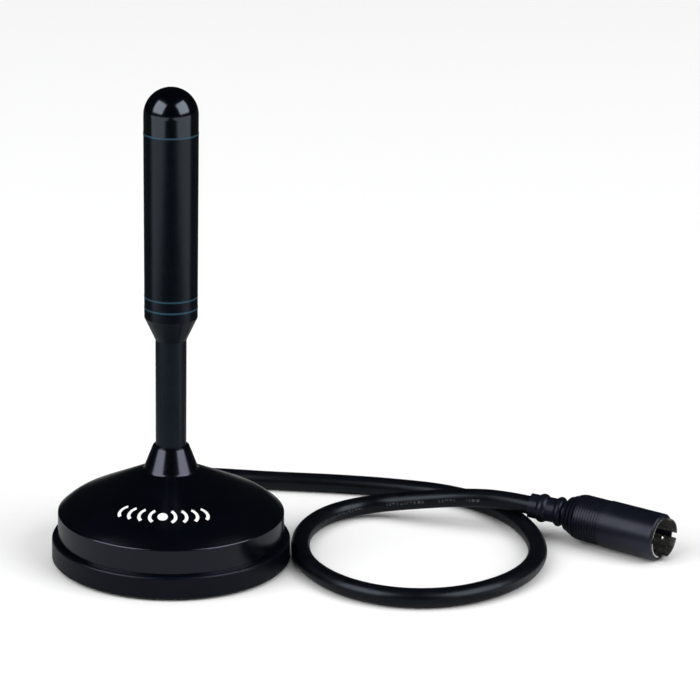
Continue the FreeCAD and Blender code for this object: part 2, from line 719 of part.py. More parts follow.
def barrel():
    """Taper adapter, sleeve and three accent rings."""
    subpart(turned("adapter", [
        ("rod_hole", "spigot_bottom"),
        ("spacer_radius", "spigot_bottom"),
        ("spacer_radius", "mast_head"),
        ("mast_head_radius", "mast_head"),
        ("barrel_low_radius", "taper_top"),
        ("barrel_low_radius", "ring_low"),
        ("ring_bed", "ring_low"),
        ("ring_bed", "ring_low + ring_width"),
        ("barrel_low_radius", "ring_low + ring_width"),
        ("barrel_low_radius", "ring_mid"),
        ("adapter_spigot", "ring_mid"),
        ("adapter_spigot", "adapter_top"),
        ("rod_hole", "adapter_top"),
    ]), "barrel_adapter")
    subpart(turned("sleeve", [
        ("sleeve_bore", "ring_mid + ring_width"),
        ("barrel_low_radius", "ring_mid + ring_width"),
        ("barrel_high_radius", "ring_high"),
        ("sleeve_bore", "ring_high"),
    ]), "barrel_sleeve")
    rings = (
        ("accent_ring_low", "ring_bed", "barrel_low_radius", "ring_low"),
        ("accent_ring_mid", "sleeve_bore", "barrel_low_radius", "ring_mid"),
        ("accent_ring_top", "sleeve_bore", "barrel_high_radius", "ring_high"),
    )
    for label, inner, outer, level in rings:
        item = ring(f"{label}_body", inner, f"{outer} + ring_proud", level, f"{level} + ring_width")
        subpart(item, label)


def dome_cap():
    """Hollow dome with a spigot that plugs into the sleeve."""
    foot = "ring_high + ring_width"
    dome = doc.addObject("Part::Sphere", "dome_outer")
    dome.Angle1 = 0
    bind(dome, Radius="dome_radius", Place_z="dome_centre")
    wall = cylinder("dome_wall", "dome_radius", foot, "dome_centre")
    spigot = cylinder("dome_spigot", "adapter_spigot", "dome_spigot_bottom", "dome_centre")
    roof = doc.addObject("Part::Sphere", "dome_roof")
    roof.Angle1 = 0
    bind(roof, Radius="dome_cavity_radius", Place_z="dome_centre")
    bore = cylinder("dome_hollow", "dome_bore", "dome_spigot_bottom - overshoot", "dome_centre")
    outside = fuse("dome_solid", [dome, wall, spigot])
    subpart(cut("dome_done", outside, fuse("dome_inside", [roof, bore])), "dome_cap")


def coil_assembly():
    """Former, loading coil and top load inside the barrel."""
    subpart(turned("former", [
        ("rod_hole", "former_bottom"),
        ("former_flange", "former_bottom"),
        ("former_flange", "former_flange_top"),
        ("former_radius", "former_flange_top"),
        ("former_radius", "former_top"),
        ("0", "former_top"),
        ("0", "former_bore_top"),
        ("rod_hole", "former_bore_top"),
    ]), "coil_former")
    turns = []
    for index in range(COIL_TURNS):
        turn = doc.addObject("Part::Torus", f"coil_turn_{index}")
        bind(turn, Radius1="coil_radius", Radius2="coil_wire", Place_z=f"coil_low + {index} * coil_pitch")
        turns.append(turn)
    subpart(fuse("coil", turns), "loading_coil")
    subpart(turned("load", [
        ("0", "former_top"),
        ("load_radius", "former_top"),
        ("load_radius", "load_top"),
        ("load_stem_radius", "load_top"),
        ("load_stem_radius", "load_stem_top"),
        ("0", "load_stem_top"),
    ]), "top_load")


def cable_grommet():
    """Rubber grommet in the base wall, its flange inside."""
    near = "grommet_flange_inner"
    parts = [
        lying_cylinder("grommet_barrel", "grommet_radius", near, "exit_reach", "exit_level"),
        lying_cylinder("grommet_rim", "grommet_flange", near, "grommet_flange_outer", "exit_level"),
    ]
    hole = lying_cylinder(
        "grommet_eye", "grommet_bore", f"{near} - overshoot", "exit_reach + overshoot", "exit_level"
    )
    floor = doc.addObject("Part::Box", "grommet_floor")
    bind(
        floor,
        Length=f"grommet_flange_outer - {near}",
        Width="2 * grommet_flange",
        Height="tray_floor",
        Place_x=near,
        Place_y="- grommet_flange",
    )
    grommet = cut("grommet_done", fuse("grommet", parts), fuse("grommet_tools", [hole, floor]))
    subpart(aimed_at_exit(grommet), "cable_grommet")


def rounded_path(points, radii):
    """Straight runs joined by tangent arcs, and the radius of each arc."""
    edges = []
    start = points[0]
    for before, corner, after, radius in zip(points, points[1:], points[2:], radii):
        into = (corner - before).normalize()
        out = (after - corner).normalize()
        turn = into.getAngle(out)
        reach = radius * math.tan(turn / 2)
        arc_start = corner - into * reach
        arc_end = corner + out * reach
        middle = corner + (out - into).normalize() * (radius / math.cos(turn / 2) - radius)
        edges.append(Part.LineSegment(start, arc_start).toShape())
        edges.append(Part.Arc(arc_start, middle, arc_end).toShape())
        start = arc_end
    edges.append(Part.LineSegment(start, points[-1]).toShape())
    return Part.Wire(edges)


def tube_along(path, radius):
    """A solid round bar along a path; its volume is checked against section times length."""
    first = path.Edges[0]
    start = first.valueAt(first.FirstParameter)
    heading = first.tangentAt(first.FirstParameter)
    section = Part.Wire(Part.Circle(start, heading, radius).toShape())
    solid = path.makePipeShell([section], True, False)
    expected = math.pi * radius ** 2 * path.Length
    if abs(solid.Volume - expected) > 0.01 * expected:
        raise RuntimeError(f"tube volume {solid.Volume:.1f}, expected {expected:.1f}")
    return solid


def shape_subpart(label, shape, aimed=True):
    """A sub-part whose shape is worked out here."""
    item = doc.addObject("Part::Feature", f"{label}_shape")
    item.Shape = shape
    if aimed:
        item.Placement = Placement(Vector(), exit_turn())
    return subpart(item, label)


def lead_inside():
    """Stripped end of the lead in the base: jacket, foam core, conductor and braid."""
    level = sizes["exit_level"]
    reach = sizes["exit_reach"]
    jacket = lying_cylinder("jacket", "lead_radius", "jacket_end", "exit_reach", "exit_level")
    hollow = lying_cylinder(
        "jacket_hollow",
        "dielectric_radius",
        "jacket_end - overshoot",
        "exit_reach + overshoot",
        "exit_level",
    )
    subpart(aimed_at_exit(cut("jacket_done", jacket, hollow)), "coax_tail")
    risen = sizes["core_level"]
    bend = sizes["core_bend"]
    rise = [
        Vector(reach, 0, level),
        Vector(sizes["core_low"], 0, level),
        Vector(sizes["core_high"], 0, risen),
    ]
    core_path = rounded_path(rise + [Vector(sizes["core_end"], 0, risen)], [bend, bend])
    wire_end = Vector(sizes["wire_turn"], 0, sizes["solder_tag_bottom"])
    wire_points = rise + [Vector(sizes["wire_turn"], 0, risen), wire_end]
    wire_path = rounded_path(wire_points, [bend, bend, sizes["wire_bend"]])
    wire = tube_along(wire_path, sizes["wire_radius"])
    core = tube_along(core_path, sizes["dielectric_radius"])
    shape_subpart("coax_core", core.cut(wire))
    shape_subpart("center_conductor", wire)
    braid_radius = sizes["braid_radius"]
    beside = sizes["dielectric_radius"] + braid_radius + BRAID_GAP
    braid_points = [Vector(sizes["jacket_end"] - BRAID_START, beside, level)]
    braid_points += [Vector(*point) for point in BRAID_ROUTE]
    braid = tube_along(rounded_path(braid_points, BRAID_BENDS), braid_radius)
    shape_subpart("braid_pigtail", braid)


def cable_clamp():
    """Saddle that holds the lead on the tray floor, and its two screws."""
    axis = sizes["exit_level"]
    inner = sizes["clamp_inner"]
    outer = sizes["clamp_outer"]
    bottom = sizes["clamp_foot_bottom"]
    top = sizes["clamp_foot_top"]
    half = sizes["clamp_half_width"]
    near = sizes["clamp_near"]

    def at(side, level):
        return Vector(near, side, level)

    foot = [(inner, axis), (inner, bottom), (half, bottom), (half, top), (outer, top), (outer, axis)]
    right = [at(side, level) for side, level in foot]
    left = [at(-side, level) for side, level in reversed(foot)]
    edges = [Part.LineSegment(a, b).toShape() for a, b in zip(left, left[1:])]
    edges.append(Part.Arc(at(-inner, axis), at(0, axis + inner), at(inner, axis)).toShape())
    edges += [Part.LineSegment(a, b).toShape() for a, b in zip(right, right[1:])]
    edges.append(Part.Arc(at(outer, axis), at(0, axis + outer), at(-outer, axis)).toShape())
    saddle = Part.Face(Part.Wire(edges)).extrude(Vector(sizes["clamp_length"], 0, 0))
    middle = near + sizes["clamp_length"] / 2
    for side in (-1, 1):
        place = Vector(middle, side * sizes["clamp_screw_side"], 0)
        saddle = saddle.cut(Part.makeCylinder(sizes["clamp_screw_radius"], 2 * axis, place))
    shape_subpart("cable_clamp", saddle)
    screws = []
    for side in (-1, 1):
        shank = cylinder(
            f"clamp_shank_{side + 1}", "clamp_screw_radius", "clamp_screw_tip", "clamp_foot_top"
        )
        head = cylinder(f"clamp_head_{side + 1}", "clamp_head_radius", "clamp_foot_top", "clamp_head_top")
        screws.append(fuse(f"clamp_screw_{side + 1}", [clamp_place(shank, side), clamp_place(head, side)]))
    subpart(group("clamp_screw_pair", screws), "clamp_screws")


def free_lead():
    """The lead on the table, from the grommet to the plug's boot."""
    points = [Vector(*point) for point in ROUTE]
    radii = []
    for before, corner, after in zip(points, points[1:], points[2:]):
        into = corner - before
        out = after - corner
        turn = into.getAngle(out)
        radii.append(ARC_SHARE * min(into.Length, out.Length) / math.tan(turn / 2))
    path = rounded_path(points, radii)
    diameter = 2 * sizes["lead_radius"]
    print("lead length", round(path.Length, 1), "mm; bend radii in diameters",
          [round(radius / diameter, 1) for radius in radii])
    shape_subpart("cable", tube_along(path, sizes["lead_radius"]), aimed=False)


def aim(heading, tilt):
    """Turns +Z to a direction on the table that dips by the tilt."""
    return Rotation(Vector(0, 0, 1), heading).multiply(Rotation(Vector(0, 1, 0), 90 + tilt))


def plug_place():
    """Placement of the plug's own frame: +Z out of the mouth, origin in the middle of the rim."""
    rim = Vector(sizes["rim_along"], sizes["rim_across"], sizes["rim_level"])
    return Placement(rim, aim(sizes["plug_heading"], sizes["plug_tilt"]))


def boot_place():
    """Placement of the boot: +Z towards the plug, origin at the neck."""
    neck = plug_place().multVec(Vector(0, 0, -sizes["neck_place"]))
    return Placement(neck, aim(sizes["boot_heading"], sizes["boot_tilt"]))


def from_end(distance):
    """Level of a point this far behind the rim, while the plug is drawn upright."""
    return f"drawing_rim - ( {distance} )"


def plug_outline():
    """Outline of the overmould's outside and of the hole for the shell."""
    corners = [("0", from_end("neck_place")), ("neck_radius", from_end("neck_place"))]
    for index in range(SHOULDER_RINGS):
        radius = f"step_first + {index} * step_growth"
        start = f"neck_place - {index} * ( step_width + step_gap )"
        end = f"{start} - step_width"
        if index:
            corners.append((f"{radius} - step_depth", from_end(start)))
        corners += [
            (radius, from_end(f"{start} - step_flare")),
            (f"{radius} + step_flare", from_end(end)),
            (f"{radius} - step_edge", from_end(f"{end} - step_edge")),
        ]
    corners += [
        ("grip_radius - grip_edge", from_end("grip_end + step_edge")),
        ("grip_radius", from_end("grip_end - grip_edge_length")),
    ]
    for index in range(GRIP_GROOVES):
        start = f"grip_end - grip_first_groove - {index} * groove_pitch"
        end = f"{start} - groove_width"
        corners += [
            ("grip_radius", from_end(start)),
            ("groove_radius", from_end(start)),
            ("groove_radius", from_end(end)),
            ("grip_radius", from_end(end)),
        ]
    corners += [
        ("grip_radius", from_end("sleeve_length")),
        ("plug_radius", from_end("sleeve_length - grip_edge_length")),
        ("plug_radius", from_end("plug_lip")),
        ("plug_radius - plug_lip", from_end("0")),
        ("plug_bore", from_end("0")),
        ("plug_bore", from_end("shell_back")),
        ("crimp_radius", from_end("shell_back")),
        ("crimp_radius", from_end("crimp_end")),
        ("0", from_end("crimp_end")),
    ]
    return corners


def in_plug(item):
    """Move a piece that was drawn upright, with the rim at drawing_rim, to its place."""
    drop = Placement(Vector(0, 0, -sizes["drawing_rim"]), Rotation())
    item.Placement = plug_place().multiply(drop)
    return item


def plug_body():
    """Moulded plug: sleeve, ribbed grip, stepped shoulder and flexible boot in one piece."""
    barrel_part = in_plug(turned("plug_barrel", plug_outline()))
    joint = doc.addObject("Part::Sphere", "boot_joint")
    bind(joint, Radius="neck_radius")
    stem = doc.addObject("Part::Cylinder", "boot_stem")
    bind(stem, Radius="boot_radius", Height="boot_length", Place_z="- boot_length")
    pieces = [joint, stem]
    for name in ("near", "far"):
        bulge = doc.addObject("Part::Ellipsoid", f"boot_bulge_{name}")
        bind(
            bulge,
            Radius1=f"bulge_half_{name}",
            Radius2=f"bulge_radius_{name}",
            Radius3=f"bulge_radius_{name}",
            Place_z=f"- bulge_place_{name}",
        )
        pieces.append(bulge)
    boot = fuse("boot", pieces)
    boot.Placement = boot_place()
    subpart(fuse("plug_solid", [barrel_part, boot]), "plug_body")


def plug_shell():
    """Spring shell with four slots, two long and two short fingers, open at the mouth."""
    cup = turned("shell", [
        ("shell_neck", from_end("shell_back")),
        ("shell_radius", from_end("shell_back")),
        ("shell_radius", from_end("slot_end")),
        ("finger_radius", from_end("slot_end - finger_ramp")),
        ("finger_radius", from_end("finger_ramp")),
        ("shell_radius", from_end("0")),
        ("shell_radius", from_end("finger_ramp - shell_reach")),
        ("shell_radius - finger_ramp", from_end("- shell_reach")),
        ("shell_bore", from_end("- shell_reach")),
        ("shell_bore", from_end("shell_back - shell_back_thick")),
        ("shell_neck", from_end("shell_back - shell_back_thick")),
    ])
    slots = []
    for index in range(2):
        slot = doc.addObject("Part::Box", f"slot_{index}")
        turn = Rotation(Vector(0, 0, 1), sizes["slot_angle"] + 90 * index)
        slot.Placement = Placement(Vector(), turn)
        height = "slot_end + shell_reach + overshoot"
        bind(slot, Length="4 * shell_radius", Width="slot_width", Height=height)
        corner = turn.multVec(Vector(-2 * sizes["shell_radius"], -sizes["slot_width"] / 2, 0))
        slot.Placement = Placement(corner + Vector(0, 0, number(from_end("slot_end"))), turn)
        slots.append(slot)
    above_short = doc.addObject("Part::Box", "above_short_fingers")
    bind(
        above_short,
        Length="4 * shell_radius",
        Width="2 * shell_radius",
        Height="shell_reach - short_reach + overshoot",
    )
    turn = Rotation(Vector(0, 0, 1), sizes["slot_angle"] - 90)
    corner = turn.multVec(Vector(-2 * sizes["shell_radius"], -2 * sizes["shell_radius"], 0))
    above_short.Placement = Placement(corner + Vector(0, 0, number(from_end("- short_reach"))), turn)
    subpart(in_plug(cut("shell_done", cup, fuse("shell_tools", slots + [above_short]))), "plug_shell")


def plug_inside():
    """Insulator, centre pin, crimp ferrule and the end of the lead in it."""
    insulator = ring(
        "insulator",
        "pin_seat_radius",
        "insulator_radius",
        from_end("shell_back - shell_back_thick"),
        from_end("insulator_face"),
    )
    subpart(in_plug(insulator), "plug_insulator")
    pin = turned("pin", [
        ("0", from_end("pin_back")),
        ("pin_seat_radius", from_end("pin_back")),
        ("pin_seat_radius", from_end("insulator_face")),
        ("pin_radius", from_end("insulator_face")),
        ("pin_radius", from_end("pin_point - pin_reach")),
        ("pin_radius - pin_point", from_end("- pin_reach")),
        ("0", from_end("- pin_reach")),
    ])
    subpart(in_plug(pin), "plug_pin")
    crimp_front = from_end("shell_back - crimp_lap")
    crimp = ring("crimp", "crimp_bore", "crimp_radius", from_end("crimp_end"), crimp_front)
    subpart(in_plug(crimp), "crimp_ferrule")
    core = ring("crimp_core", "0", "crimp_core_radius", from_end("crimp_end"), from_end("pin_back"))
    subpart(in_plug(core), "lead_end")


def check_document():
    """Stop if any object failed or any sub-part isn't a valid solid."""
    doc.recompute()
    for item in doc.Objects:
        if "Invalid" in item.State or "Error" in item.State:
            raise RuntimeError(f"{item.Name}: {item.State}")
    for item in subparts:
        shape = item.Shape
        if shape.isNull() or not shape.isValid() or not shape.Solids:
            raise RuntimeError(f"{item.Label} has no valid solid")
        print(f"{item.Label:20s} {shape.Volume:10.1f} mm3, {len(shape.Solids)} solid(s)")


def export_subparts():
    """Write one STEP file for each sub-part."""
    os.makedirs("parts", exist_ok=True)
    for item in subparts:
        item.Shape.exportStep(f"parts/{item.Label}.step")


def main():
    fill_sheet()
    base_pad()
    base_tray()
    base_cap()
    base_screws()
    magnet_and_plate()
    ground_fixing()
    feed_stud()
    stud_bush()
    stud_hardware()
    foot_seal()
    mast()
    barrel()
    dome_cap()
    coil_assembly()
    cable_grommet()
    lead_inside()
    cable_clamp()
    free_lead()
    plug_body()
    plug_shell()
    plug_inside()
    check_document()
    export_subparts()


main()
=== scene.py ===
"""Looks of the whip antenna on its magnetic base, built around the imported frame. Metres throughout."""

import json
import math
import random

import bpy
from mathutils import Matrix, Vector

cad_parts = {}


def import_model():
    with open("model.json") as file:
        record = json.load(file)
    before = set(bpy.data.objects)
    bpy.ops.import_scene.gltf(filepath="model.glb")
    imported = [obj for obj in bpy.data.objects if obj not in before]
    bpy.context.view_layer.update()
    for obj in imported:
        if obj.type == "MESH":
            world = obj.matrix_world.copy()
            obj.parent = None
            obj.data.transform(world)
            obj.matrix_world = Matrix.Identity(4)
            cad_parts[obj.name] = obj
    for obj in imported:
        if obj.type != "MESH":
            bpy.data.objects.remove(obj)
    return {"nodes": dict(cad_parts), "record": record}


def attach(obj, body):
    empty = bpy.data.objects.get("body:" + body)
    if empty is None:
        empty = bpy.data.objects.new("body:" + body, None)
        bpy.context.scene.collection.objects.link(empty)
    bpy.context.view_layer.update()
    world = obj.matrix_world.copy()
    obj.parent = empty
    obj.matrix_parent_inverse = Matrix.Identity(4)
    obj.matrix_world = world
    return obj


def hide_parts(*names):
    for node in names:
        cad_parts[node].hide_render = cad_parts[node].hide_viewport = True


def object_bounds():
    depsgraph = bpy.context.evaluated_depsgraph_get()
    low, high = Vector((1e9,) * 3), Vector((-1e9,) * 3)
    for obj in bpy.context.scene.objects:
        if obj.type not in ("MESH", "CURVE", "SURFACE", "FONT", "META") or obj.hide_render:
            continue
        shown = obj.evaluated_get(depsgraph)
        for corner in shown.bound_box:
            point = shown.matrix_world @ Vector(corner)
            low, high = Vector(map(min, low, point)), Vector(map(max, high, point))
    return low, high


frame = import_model()
NODES = frame["nodes"]
cad_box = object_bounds()
random.seed(7)

MM = 0.001

# The lead: its centreline's control points and diameter, as the part's source has them, in mm.
LEAD_ROUTE = [
    (-9.8, 34.2, 6.0),
    (-12.0, 41.9, 6.0),
    (-10.4, 51.0, 5.1),
    (-4.9, 58.3, 3.9),
    (3.8, 62.6, 3.0),
    (15.2, 61.9, 2.82),
    (31.4, 58.7, 2.82),
    (49.5, 56.5, 2.82),
    (68.4, 52.7, 2.82),
    (87.0, 46.6, 2.82),
    (100.6, 33.2, 2.82),
    (107.8, 13.6, 2.82),
    (108.1, -7.2, 2.82),
    (99.2, -26.0, 2.82),
    (82.6, -38.2, 2.82),
    (64.4, -39.9, 2.82),
    (48.2, -30.6, 2.82),
    (38.8, -13.4, 2.82),
    (37.7, 5.8, 2.82),
    (42.0, 20.8, 2.82),
    (50.4, 31.6, 2.84),
    (62.4, 35.7, 3.7),
    (75.0, 30.9, 6.6),
    (88.4, 26.8, 8.9),
    (99.6, 24.7, 9.11),
    (107.93, 21.0, 8.47),
]
LEAD_DIAMETER = 5.6 * MM
PRINT_LIFT = 0.02 * MM  # ink stands this far off the jacket
PRINT_ANGLE = 2  # degrees over the lead's own level
PRINT_STEP = 0.3 * MM  # a tick has a row of points this often along the lead
PRINT_LENGTHS = (0.3, 0.3, 0.5, 0.9)  # mm along the lead
PRINT_HEIGHTS = ((-9, 9), (-9, 1), (0, 9), (-9, 9))  # degrees round the lead
PRINT_GAPS = (0.45, 0.45, 0.7)  # mm
# where the groups of ticks begin and end, as parts of the lead's length
PRINT_GROUPS = [(0.815, 0.862), (0.885, 0.915), (0.928, 0.942), (0.950, 0.960)]

COOL_GLOSS = (0.74, 0.86, 1.0, 1.0)  # dark paint and plastic mirror a little bluer than they're lit
VIOLET_GLOSS = (0.76, 0.79, 1.0, 1.0)  # as above, for the base and the plug

MARK_RADIUS = 22.6 * MM  # middle of the mark on the cone, distance from the axis
MARK_LIFT = 0.04 * MM  # ink stands this far off the paint
MARK_ASIDE = -2.4 * MM  # the mark sits a little left of the front
MARK_DOT = 1.5 * MM
MARK_ARCS = 4  # on each side of the dot
MARK_BEND = 3.1 * MM  # outside radius of every arc
MARK_STROKE = 0.95 * MM
MARK_FIRST = 4.2 * MM  # outer edge of the first arc, from the dot's centre
MARK_STEP = 3.15 * MM
MARK_OPENING = math.radians(56)  # half the angle of an arc
# MIRROR_ numbers paint the floor's colour as seen in gloss only: painted reflections on the object; the
# camera sees the floor evenly pale
MIRROR_SPOT = (0.140, -0.035, 0.0)  # a spot of the floor's gloss colour painted pale in front of the plug: a painted reflection on the plug's metal
MIRROR_NEAR = (0.36, 0.035)  # brightness of the floor in gloss, by the base and far from it
MIRROR_WINGS = (0.0, 0.85)  # and between the wings and on them
CONE_COSINE = 0.904  # of the cone's slope
ABOVE = 60 * MM  # rays that look for the cone start here


# ---------------------------------------------------------------- nodes and materials

def new_material(name):
    """An empty node material, its tree and its Principled shader."""
    material = bpy.data.materials.new(name)
    material.use_nodes = True
    tree = material.node_tree
    return material, tree, tree.nodes["Principled BSDF"]


def noise(tree, scale, detail=3.0, roughness=0.5, stretch=None):
    """A noise texture in object space; stretch scales its axes."""
    place = tree.nodes.new("ShaderNodeTexCoord")
    texture = tree.nodes.new("ShaderNodeTexNoise")
    texture.inputs["Scale"].default_value = scale
    texture.inputs["Detail"].default_value = detail
    texture.inputs["Roughness"].default_value = roughness
    source = place.outputs["Object"]
    if stretch:
        mapping = tree.nodes.new("ShaderNodeMapping")
        mapping.inputs["Scale"].default_value = stretch
        tree.links.new(source, mapping.inputs["Vector"])
        source = mapping.outputs["Vector"]
    tree.links.new(source, texture.inputs["Vector"])
    return texture.outputs["Fac"]


def ramp(tree, value, stops):
    """A colour ramp from (place, colour) pairs."""
    node = tree.nodes.new("ShaderNodeValToRGB")
    elements = node.color_ramp.elements
    while len(elements) < len(stops):
        elements.new(0.5)
    for element, (place, colour) in zip(elements, stops):
        element.position = place
        element.color = (*colour, 1.0)
    tree.links.new(value, node.inputs["Fac"])
    return node.outputs["Color"]


def spread(tree, value, low, high):
    """Map a noise value to a range."""
    node = tree.nodes.new("ShaderNodeMapRange")
    node.inputs["From Min"].default_value = 0.3
    node.inputs["From Max"].default_value = 0.7
    node.inputs["To Min"].default_value = low
    node.inputs["To Max"].default_value = high
    tree.links.new(value, node.inputs["Value"])
    return node.outputs["Result"]


def bump(tree, shader, layers):
    """Chain bump nodes from (height, distance in metres, strength) layers into the shader."""
    before = None
    for height, distance, strength in layers:
        node = tree.nodes.new("ShaderNodeBump")
        node.inputs["Distance"].default_value = distance
        node.inputs["Strength"].default_value = strength
        tree.links.new(height, node.inputs["Height"])
        if before:
            tree.links.new(before, node.inputs["Normal"])
        before = node.outputs["Normal"]
    tree.links.new(before, shader.inputs["Normal"])


def moulded(name, dark, light, rough, specular, grain=2600.0, grain_depth=0.02 * MM,
            wave=60.0, wave_depth=0.0, metallic=0.0, sheen=0.0, gloss=COOL_GLOSS):
    """Plastic, paint, rubber or metal: two close colours, uneven gloss, fine grain and a slow waviness."""
    material, tree, shader = new_material(name)
    patches = noise(tree, 90.0, 4.0)
    tree.links.new(ramp(tree, patches, [(0.3, dark), (0.7, light)]), shader.inputs["Base Color"])
    handled = noise(tree, 240.0, 5.0, 0.6)
    tree.links.new(spread(tree, handled, rough[0], rough[1]), shader.inputs["Roughness"])
    layers = [(noise(tree, grain, 2.0), grain_depth, 0.5)]
    if wave_depth:
        layers.append((noise(tree, wave, 1.0), wave_depth, 0.5))
    bump(tree, shader, layers)
    shader.inputs["Specular IOR Level"].default_value = specular
    shader.inputs["Specular Tint"].default_value = gloss
    shader.inputs["Metallic"].default_value = metallic
    shader.inputs["Sheen Weight"].default_value = sheen
    return material


def brushed_metal(name, dark, light, rough, stretch, depth=0.01 * MM):
    """Turned or rolled metal with fine lines along one way."""
    material, tree, shader = new_material(name)
    lines = noise(tree, 900.0, 4.0, 0.6, stretch)
    stains = noise(tree, 160.0, 3.0)
    tree.links.new(ramp(tree, stains, [(0.3, dark), (0.7, light)]), shader.inputs["Base Color"])
    tree.links.new(spread(tree, lines, rough[0], rough[1]), shader.inputs["Roughness"])
    bump(tree, shader, [(lines, depth, 0.4)])
    shader.inputs["Metallic"].default_value = 1.0
    return material


def jacket_material():
    """Glossy black PVC of the lead, with the slight unevenness of an extrusion."""
    material, tree, shader = new_material("lead_pvc")
    tone = noise(tree, 140.0, 4.0)
    stops = [(0.3, (0.0010, 0.0013, 0.0026)), (0.7, (0.0026, 0.0031, 0.0052))]
    tree.links.new(ramp(tree, tone, stops), shader.inputs["Base Color"])
    scuffs = noise(tree, 500.0, 6.0, 0.65)
    tree.links.new(spread(tree, scuffs, 0.26, 0.36), shader.inputs["Roughness"])
    bump(tree, shader, [
        (noise(tree, 3200.0, 2.0), 0.012 * MM, 0.4),
        (noise(tree, 210.0, 2.0), 0.10 * MM, 0.35),
    ])
    shader.inputs["Specular IOR Level"].default_value = 0.32
    shader.inputs["Specular Tint"].default_value = COOL_GLOSS
    return material


NAVY_DARK = (0.0008, 0.0014, 0.0032)
NAVY = (0.0016, 0.0024, 0.0052)


def make_materials():
    """One material for each of the record's slots."""
    near_black = (0.0005, 0.0009, 0.0022)
    made = {
        "pad_rubber": moulded("pad_rubber", (0.010, 0.010, 0.011), (0.017, 0.017, 0.018),
                              (0.75, 0.9), 0.25, 1500.0, 0.06 * MM, sheen=0.1),
        "base_gloss": moulded("base_gloss", NAVY_DARK, NAVY, (0.28, 0.36), 0.27,
                              2200.0, 0.003 * MM, 55.0, 0.02 * MM, gloss=VIOLET_GLOSS),
        "cap_gloss": moulded("cap_gloss", near_black, NAVY_DARK, (0.16, 0.21), 0.66,
                             2200.0, 0.003 * MM, 55.0, 0.02 * MM, gloss=VIOLET_GLOSS),
        "seal_rubber": moulded("seal_rubber", (0.006, 0.006, 0.007), (0.012, 0.012, 0.013),
                               (0.6, 0.75), 0.3),
        "mast_black": moulded("mast_black", (0.0026, 0.0048, 0.0080), (0.0042, 0.0072, 0.0112),
                              (0.26, 0.34), 0.34, 3200.0, 0.02 * MM),
        "barrel_satin": moulded("barrel_satin", (0.0006, 0.0018, 0.0040), (0.0012, 0.0028, 0.0056),
                                (0.20, 0.26), 0.40, 3400.0, 0.02 * MM),
        "accent_blue": moulded("accent_blue", (0.020, 0.060, 0.092), (0.030, 0.084, 0.122),
                               (0.25, 0.35), 0.5, 2600.0, 0.01 * MM, metallic=0.35),
        "dome_gloss": moulded("dome_gloss", (0.0001, 0.0004, 0.0014), (0.0003, 0.0007, 0.0020),
                              (0.12, 0.16), 0.78, 2400.0, 0.004 * MM),
        "grommet_rubber": moulded("grommet_rubber", (0.005, 0.005, 0.006), (0.010, 0.010, 0.011),
                                  (0.55, 0.7), 0.3),
        "lead_jacket": jacket_material(),
        "plug_moulding": moulded("plug_moulding", (0.0032, 0.0042, 0.0086), (0.0056, 0.0066, 0.0120),
                                 (0.30, 0.38), 0.30, 2800.0, 0.03 * MM, 140.0, 0.03 * MM,
                                 gloss=VIOLET_GLOSS),
        "plug_nickel": brushed_metal("plug_nickel", (0.62, 0.61, 0.59), (0.80, 0.79, 0.77),
                                     (0.22, 0.28), (1.0, 1.0, 6.0), 0.001 * MM),
        "plug_insulator": moulded("plug_insulator", (0.006, 0.006, 0.007), (0.012, 0.012, 0.013),
                                  (0.4, 0.5), 0.4),
        "plug_pin_metal": brushed_metal("plug_pin_metal", (0.72, 0.70, 0.64), (0.85, 0.83, 0.78),
                                        (0.12, 0.25), (1.0, 1.0, 6.0)),
        "zinc_steel": brushed_metal("zinc_steel", (0.45, 0.46, 0.47), (0.62, 0.63, 0.64),
                                    (0.3, 0.5), (6.0, 1.0, 1.0)),
        "ferrite": moulded("ferrite", (0.025, 0.025, 0.026), (0.045, 0.045, 0.046),
                           (0.6, 0.8), 0.4, 1800.0, 0.05 * MM),
        "tinned_brass": brushed_metal("tinned_brass", (0.62, 0.60, 0.55), (0.75, 0.73, 0.68),
                                      (0.25, 0.4), (1.0, 4.0, 1.0)),
        "stud_brass": brushed_metal("stud_brass", (0.60, 0.42, 0.16), (0.78, 0.57, 0.25),
                                    (0.2, 0.35), (1.0, 1.0, 8.0)),
        "nylon": moulded("nylon", (0.62, 0.60, 0.54), (0.74, 0.72, 0.66), (0.4, 0.55), 0.45),
        "copper_wire": brushed_metal("copper_wire", (0.62, 0.24, 0.11), (0.80, 0.36, 0.19),
                                     (0.15, 0.3), (1.0, 1.0, 5.0)),
        "foam_core": moulded("foam_core", (0.72, 0.71, 0.67), (0.82, 0.81, 0.78), (0.5, 0.65), 0.4),
        "tinned_braid": brushed_metal("tinned_braid", (0.45, 0.44, 0.42), (0.70, 0.69, 0.66),
                                      (0.3, 0.5), (3.0, 3.0, 3.0), 0.03 * MM),
    }
    return made


def dress_nodes(materials):
    """Give each CAD node the material of its slot in the record."""
    for row in frame["record"]["subparts"]:
        node = NODES[row["node"]]
        node.data.materials.clear()
        node.data.materials.append(materials[row["material_slot"]])


# ---------------------------------------------------------------- pieces

def mesh_piece(name, points, faces, material, body, smooth=True):
    """A mesh object that rides on a body."""
    mesh = bpy.data.meshes.new(name)
    mesh.from_pydata([tuple(point) for point in points], [], faces)
    for polygon in mesh.polygons:
        polygon.use_smooth = smooth
    mesh.materials.append(material)
    mesh.update()
    piece = bpy.data.objects.new(name, mesh)
    bpy.context.scene.collection.objects.link(piece)
    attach(piece, body)
    return piece


def lathe(name, outline, place, material, body, sides=96):
    """A closed turned piece about +Z of its place, from (radius, level) pairs."""
    points = []
    faces = []
    count = len(outline)
    for side in range(sides):
        angle = 2 * math.pi * side / sides
        for radius, level in outline:
            points.append(place @ Vector((radius * math.cos(angle), radius * math.sin(angle), level)))
    for side in range(sides):
        here = side * count
        there = (side + 1) % sides * count
        for index in range(count):
            after = (index + 1) % count
            faces.append((here + index, there + index, there + after, here + after))
    return mesh_piece(name, points, faces, material, body)


